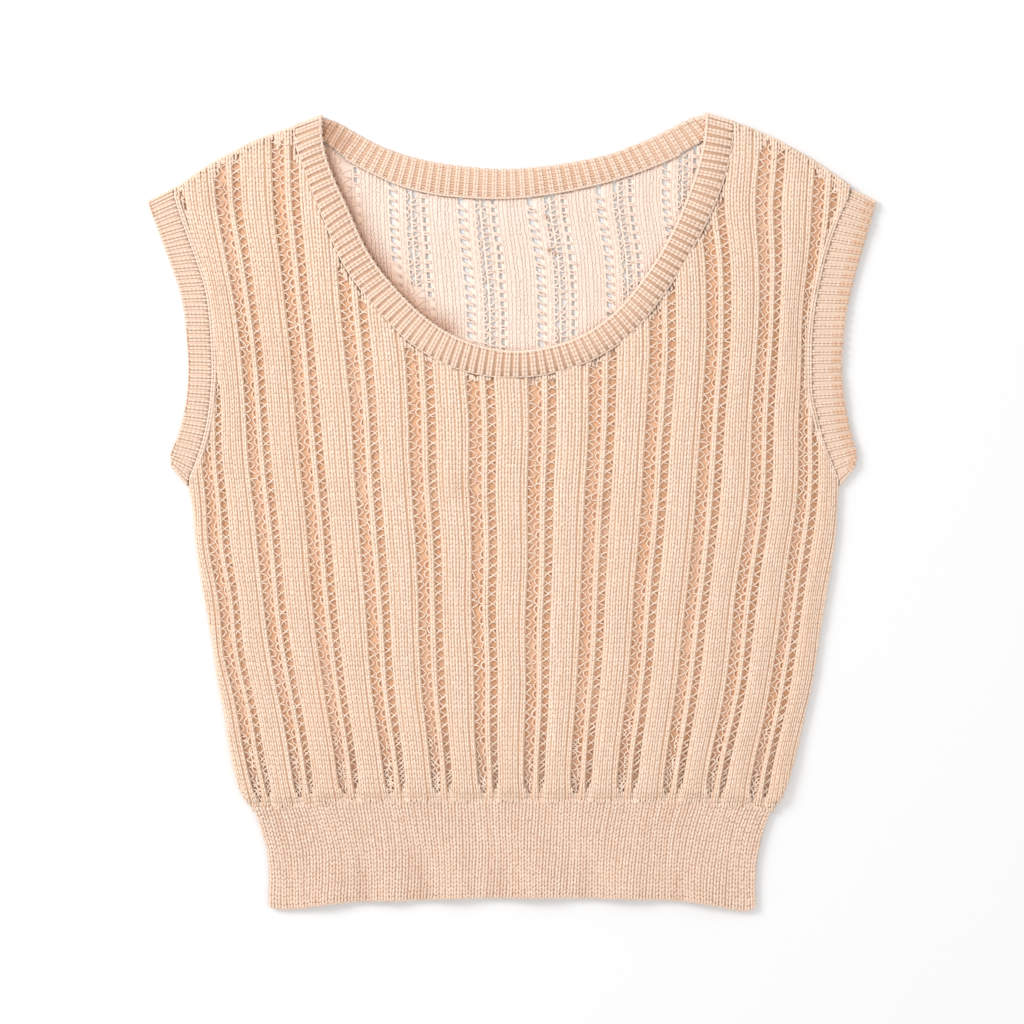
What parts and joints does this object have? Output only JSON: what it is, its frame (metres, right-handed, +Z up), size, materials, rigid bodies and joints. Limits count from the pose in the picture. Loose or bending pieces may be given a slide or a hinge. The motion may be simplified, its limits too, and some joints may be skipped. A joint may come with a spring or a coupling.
{
  "type": "open-knit top",
  "caption": "Sleeveless open-knit vest top in pale peach cotton, laid flat and face up, with lace ladders between raised ribs, a scoop neckband, armbands and a deep ribbed waistband.",
  "frame": {"origin": "on the plane that the back rests on, under the middle of the outline", "axes": "+Z up out of the front, +Y towards the neck, +X towards the viewer's right"},
  "size_m": [0.473, 0.5182, 0.0066],
  "materials": {
    "body_knit": "matte",
    "rib_knit": "matte"
  },
  "bodies": {
    "root": {"front_panel": "body_knit", "back_panel": "body_knit", "neckband": "rib_knit", "armband_left": "rib_knit", "armband_right": "rib_knit", "waistband_front": "rib_knit", "waistband_back": "rib_knit"}
  },
  "joints": []
}
